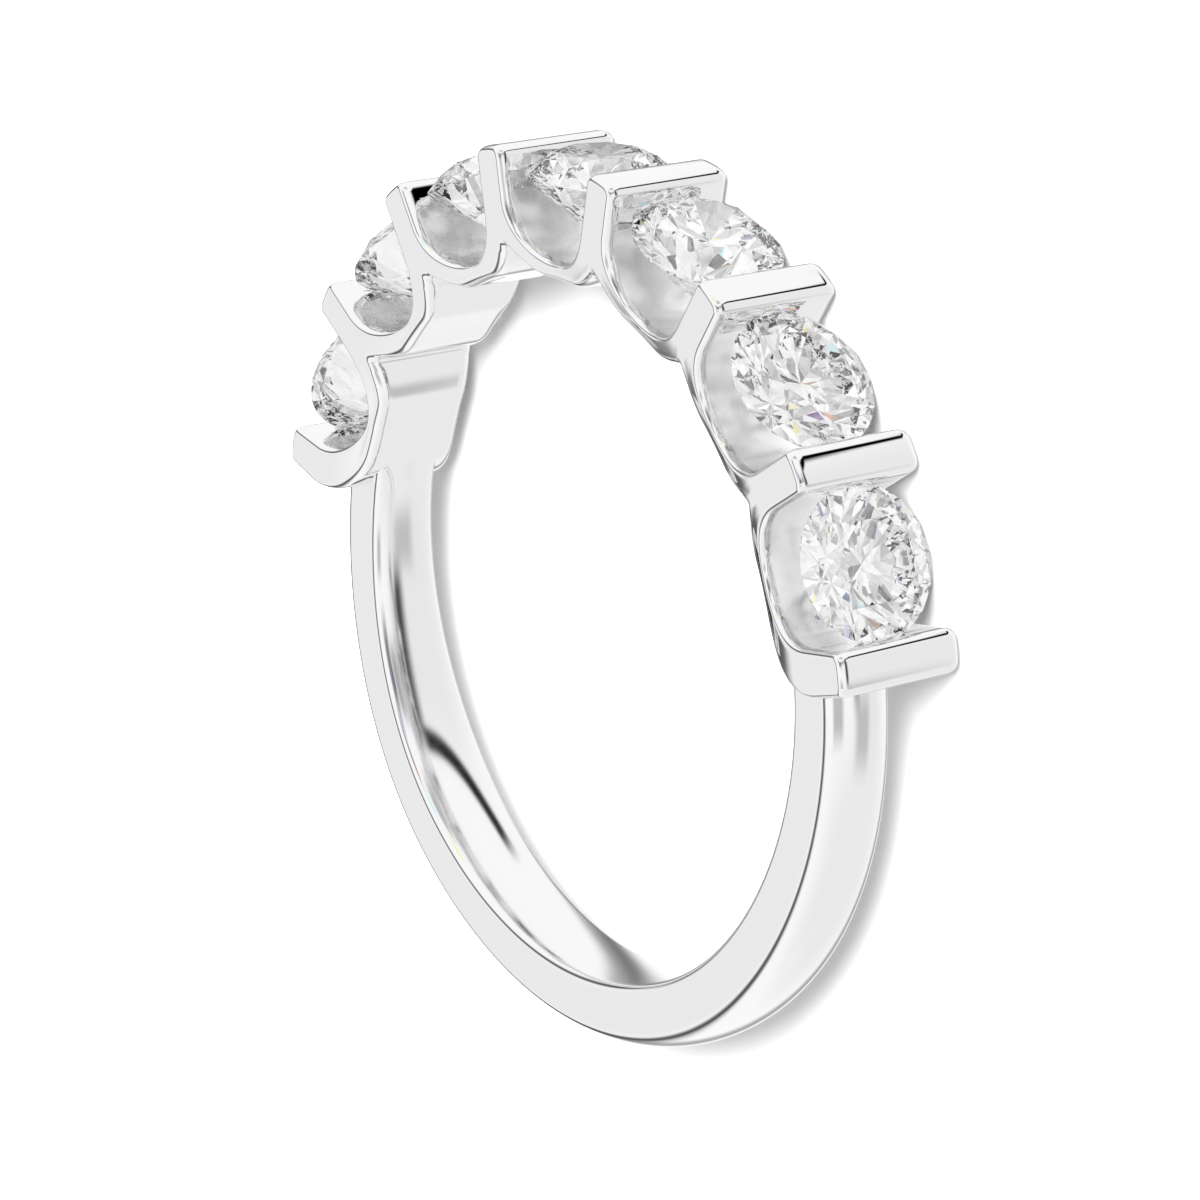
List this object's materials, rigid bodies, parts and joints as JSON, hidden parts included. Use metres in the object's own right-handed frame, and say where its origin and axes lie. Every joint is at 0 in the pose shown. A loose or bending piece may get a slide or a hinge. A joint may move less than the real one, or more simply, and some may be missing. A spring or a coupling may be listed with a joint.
{
  "type": "bar set band",
  "caption": "Cast ring with a row of round cut stones held between plain bars over scalloped cups, running into a plain domed shank.",
  "frame": {"origin": "centre of the bounding box, at the height of its lowest point, where the ring lies on a surface", "axes": "+Z along the finger axis, +Y from the finger axis to the middle stone, +X to the right seen from above"},
  "size_m": [0.0224, 0.0212, 0.0034],
  "materials": {
    "metal": "mirror polish, white metal",
    "stone": "clear, faceted and polished"
  },
  "bodies": {
    "root": {"band": "metal", "stone_1": "stone", "stone_2": "stone", "stone_3": "stone", "stone_4": "stone", "stone_5": "stone", "stone_6": "stone", "stone_7": "stone"}
  },
  "joints": []
}
